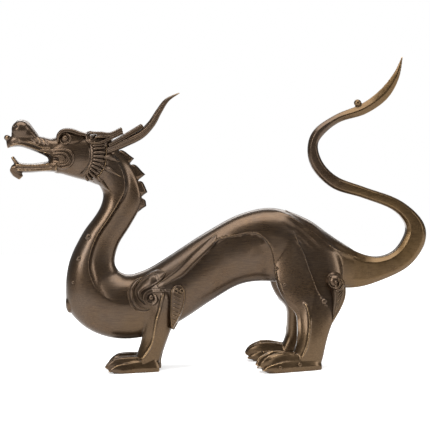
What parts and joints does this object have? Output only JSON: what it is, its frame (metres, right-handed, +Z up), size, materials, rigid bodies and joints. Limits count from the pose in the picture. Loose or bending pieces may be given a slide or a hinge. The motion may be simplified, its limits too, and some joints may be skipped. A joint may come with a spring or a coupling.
{
  "type": "dragon sculpture",
  "caption": "Walking dragon sculpture in hollow cast metal: arched neck, horned head with an open mouth, short legs and an S-shaped tail that ends in a leaf blade.",
  "frame": {"origin": "bottom centre of the bounding box, on the surface that the dragon stands on", "axes": "+X from the nose towards the tail, along the longest extent; +Y to the dragon's right side; +Z up"},
  "size_m": [0.3778, 0.1036, 0.277],
  "materials": {
    "bronze": "aged brown bronze, satin, rubbed to a pale tan on the raised edges"
  },
  "bodies": {
    "root": {"dragon": "bronze"}
  },
  "joints": []
}
